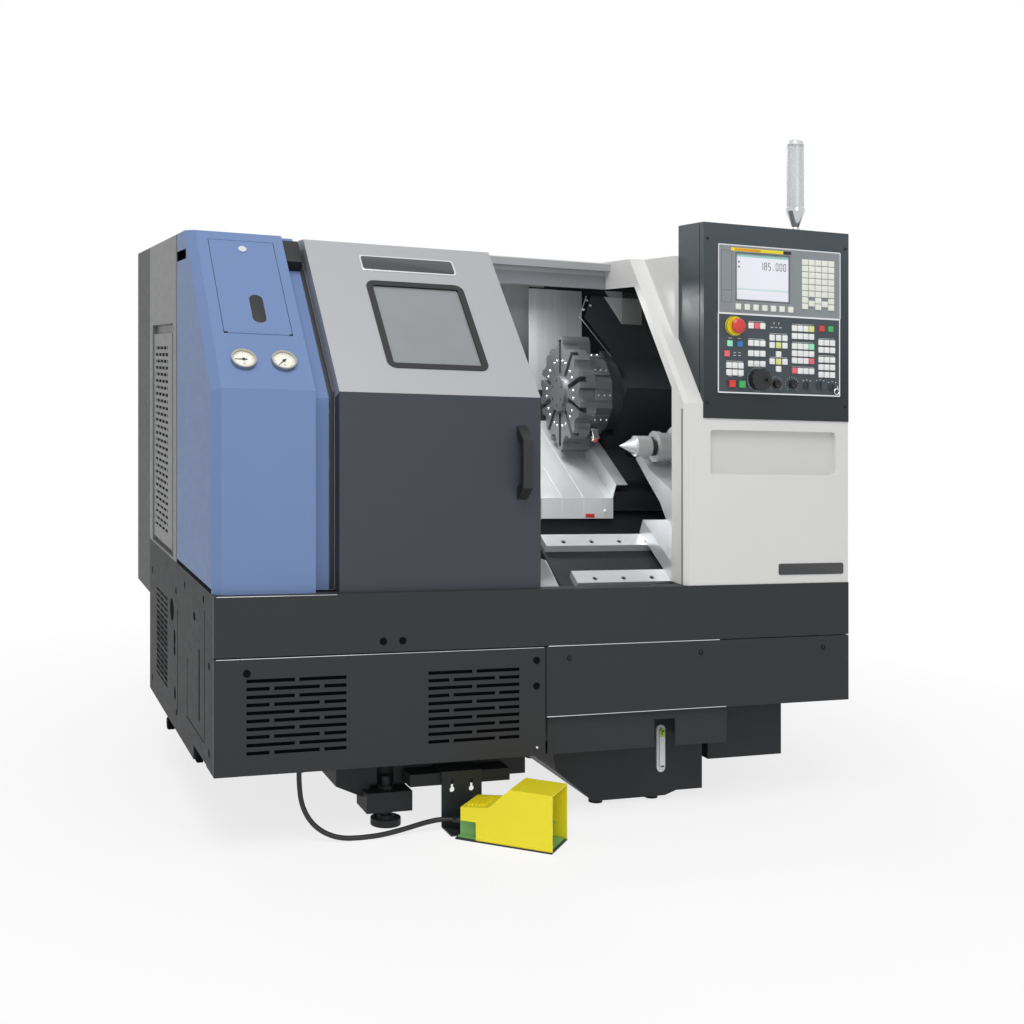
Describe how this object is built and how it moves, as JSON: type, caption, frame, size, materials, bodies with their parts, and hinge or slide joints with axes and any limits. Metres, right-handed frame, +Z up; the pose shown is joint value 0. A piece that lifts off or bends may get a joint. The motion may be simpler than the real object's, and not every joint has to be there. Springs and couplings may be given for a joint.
{
  "type": "cnc turning lathe",
  "caption": "Compact slant-bed turning centre in a sheet-metal enclosure with a sliding windowed door, turret, tailstock, control box, signal lamp and foot switch.",
  "frame": {"origin": "middle of the footprint, including the foot switch, on the floor", "axes": "+X to the operator's right along the spindle, +Y from the front to the back, +Z up"},
  "size_m": [1.83, 1.6854, 1.907],
  "materials": {
    "base_paint": "satin",
    "casting": "matte",
    "blue_paint": "satin",
    "grey_paint": "satin",
    "white_paint": "satin",
    "door_dark": "satin",
    "door_silver": "brushed",
    "slate": "satin",
    "bezel": "matte",
    "panel": "matte",
    "steel": "ground",
    "stainless": "brushed",
    "dark_steel": "satin",
    "black_plastic": "satin",
    "seal": "matte",
    "pane": "clear",
    "chrome": "polished",
    "red": "gloss",
    "green": "gloss",
    "lamp": "gloss",
    "clear_plastic": "clear",
    "pedal_yellow": "gloss",
    "pedal_green": "satin",
    "cable": "matte"
  },
  "bodies": {
    "machine": {"bed_casting": "casting", "guideways": "steel", "levelling_feet": "casting", "chip_pan": "base_paint", "chip_chute": "stainless", "lower_left_cover": "base_paint", "lower_right_cover": "base_paint", "left_skirt": "base_paint", "coolant_tank": "base_paint", "level_gauge": "clear_plastic", "headstock_cover": "grey_paint", "electrical_cabinet": "grey_paint", "hydraulic_cover": "blue_paint", "pressure_gauges": "chrome", "roof_cover": "white_paint", "door_frame": "white_paint", "right_cover": "white_paint", "control_box": "slate", "display_unit": "bezel", "operator_panel": "panel", "signal_lamp": "lamp", "headstock": "casting", "bulkhead": "stainless", "rear_liner": "stainless", "way_cover": "stainless", "pedal_bracket": "dark_steel", "pedal_base": "pedal_green", "pedal_guard": "pedal_yellow", "pedal_cord": "cable", "cord_glands": "black_plastic"},
    "cabinet_leaf": {"cabinet_door": "grey_paint"},
    "access_leaf": {"access_door": "blue_paint"},
    "lock": {"access_lock": "chrome"},
    "left_needle": {"needle_left": "black_plastic"},
    "right_needle": {"needle_right": "black_plastic"},
    "front_door": {"door_lower": "door_dark", "door_upper": "door_silver", "window_seal": "seal", "window_pane": "pane", "door_handle": "black_plastic"},
    "stop": {"stop_button": "red"},
    "start": {"start_button": "green"},
    "hold": {"hold_button": "red"},
    "wheel": {"handwheel": "black_plastic"},
    "feed_dial": {"feed_knob": "black_plastic"},
    "speed_dial": {"spindle_knob": "black_plastic"},
    "spindle_rotor": {"spindle": "steel", "chuck": "steel"},
    "jaw_a": {"jaw_1": "steel"},
    "jaw_b": {"jaw_2": "steel"},
    "jaw_c": {"jaw_3": "steel"},
    "carriage": {"saddle": "dark_steel", "saddle_cover": "stainless"},
    "cross_slide": {"turret_housing": "dark_steel"},
    "turret": {"turret_disc": "steel", "tool_holders": "steel"},
    "tailstock_body": {"tailstock": "stainless"},
    "quill_tube": {"quill": "steel"},
    "centre_point": {"live_centre": "steel"},
    "foot_lever": {"pedal_lever": "pedal_green"}
  },
  "joints": [
    {"name": "cabinet_hinge", "type": "hinge", "parent": "machine", "child": "cabinet_leaf", "pos_m": [-0.889, 0.83966, 1], "axis": [0, 0, 1], "range_deg": [0, 110]},
    {"name": "access_hinge", "type": "hinge", "parent": "machine", "child": "access_leaf", "pos_m": [-0.775, -0.48518, 1.27727], "axis": [1, 0, 0], "range_deg": [0, 100]},
    {"name": "lock_turn", "type": "hinge", "parent": "access_leaf", "child": "lock", "pos_m": [-0.7745, -0.26766, 1.50649], "axis": [0, -0.7254, 0.6884], "range_deg": [0, 90]},
    {"name": "left_gauge", "type": "hinge", "parent": "machine", "child": "left_needle", "pos_m": [-0.827, -0.55333, 1.20546], "axis": [0, -0.7254, 0.6884], "range_deg": [-225, 45]},
    {"name": "right_gauge", "type": "hinge", "parent": "machine", "child": "right_needle", "pos_m": [-0.725, -0.55333, 1.20546], "axis": [0, -0.7254, 0.6884], "range_deg": [-270, 0]},
    {"name": "door_slide", "type": "slide", "parent": "machine", "child": "front_door", "axis": [1, 0, 0], "range_m": [0, 0.427]},
    {"name": "stop_press", "type": "slide", "parent": "machine", "child": "stop", "axis": [0, 1, 0], "range_m": [0, 0.005], "stiffness_N_per_m": 800},
    {"name": "start_press", "type": "slide", "parent": "machine", "child": "start", "axis": [0, 1, 0], "range_m": [0, 0.003], "stiffness_N_per_m": 500},
    {"name": "hold_press", "type": "slide", "parent": "machine", "child": "hold", "axis": [0, 1, 0], "range_m": [0, 0.003], "stiffness_N_per_m": 500},
    {"name": "wheel_turn", "type": "hinge", "parent": "machine", "child": "wheel", "pos_m": [0.604, -0.64534, 1.209], "axis": [0, -1, 0], "continuous": true},
    {"name": "feed_turn", "type": "hinge", "parent": "machine", "child": "feed_dial", "pos_m": [0.664, -0.64534, 1.198], "axis": [0, -1, 0], "range_deg": [-135, 135]},
    {"name": "speed_turn", "type": "hinge", "parent": "machine", "child": "speed_dial", "pos_m": [0.717, -0.64534, 1.199], "axis": [0, -1, 0], "range_deg": [-135, 135]},
    {"name": "spindle_turn", "type": "hinge", "parent": "machine", "child": "spindle_rotor", "pos_m": [-0.175, -0.18734, 0.99], "axis": [1, 0, 0], "continuous": true},
    {"name": "jaw_a_slide", "type": "slide", "parent": "spindle_rotor", "child": "jaw_a", "axis": [0, 0, 1], "range_m": [-0.005, 0.005]},
    {"name": "jaw_b_slide", "type": "slide", "parent": "spindle_rotor", "child": "jaw_b", "axis": [0, -0.866, -0.5], "range_m": [-0.005, 0.005]},
    {"name": "jaw_c_slide", "type": "slide", "parent": "spindle_rotor", "child": "jaw_c", "axis": [0, 0.866, -0.5], "range_m": [-0.005, 0.005]},
    {"name": "carriage_slide", "type": "slide", "parent": "machine", "child": "carriage", "axis": [1, 0, 0], "range_m": [-0.24, 0]},
    {"name": "cross_slide_feed", "type": "slide", "parent": "carriage", "child": "cross_slide", "axis": [0, 0.866, 0.5], "range_m": [-0.07, 0.06]},
    {"name": "turret_index", "type": "hinge", "parent": "cross_slide", "child": "turret", "pos_m": [0.313, 0.0742, 1.141], "axis": [1, 0, 0], "continuous": true},
    {"name": "tailstock_slide", "type": "slide", "parent": "machine", "child": "tailstock_body", "axis": [1, 0, 0], "range_m": [-0.04, 0.15]},
    {"name": "quill_feed", "type": "slide", "parent": "tailstock_body", "child": "quill_tube", "axis": [-1, 0, 0], "range_m": [0, 0.05]},
    {"name": "centre_turn", "type": "hinge", "parent": "quill_tube", "child": "centre_point", "pos_m": [0.485, -0.18734, 0.99], "axis": [1, 0, 0], "continuous": true},
    {"name": "pedal_press", "type": "hinge", "parent": "machine", "child": "foot_lever", "pos_m": [-0.20621, -0.67309, 0.04], "axis": [0.6691, 0.7431, 0], "range_deg": [0, 8], "stiffness_Nm_per_rad": 3, "springref_deg": -28.65}
  ],
  "couplings": [
    {"joint": "jaw_b_slide", "follows": "jaw_a_slide", "ratio": 1},
    {"joint": "jaw_c_slide", "follows": "jaw_a_slide", "ratio": 1}
  ]
}
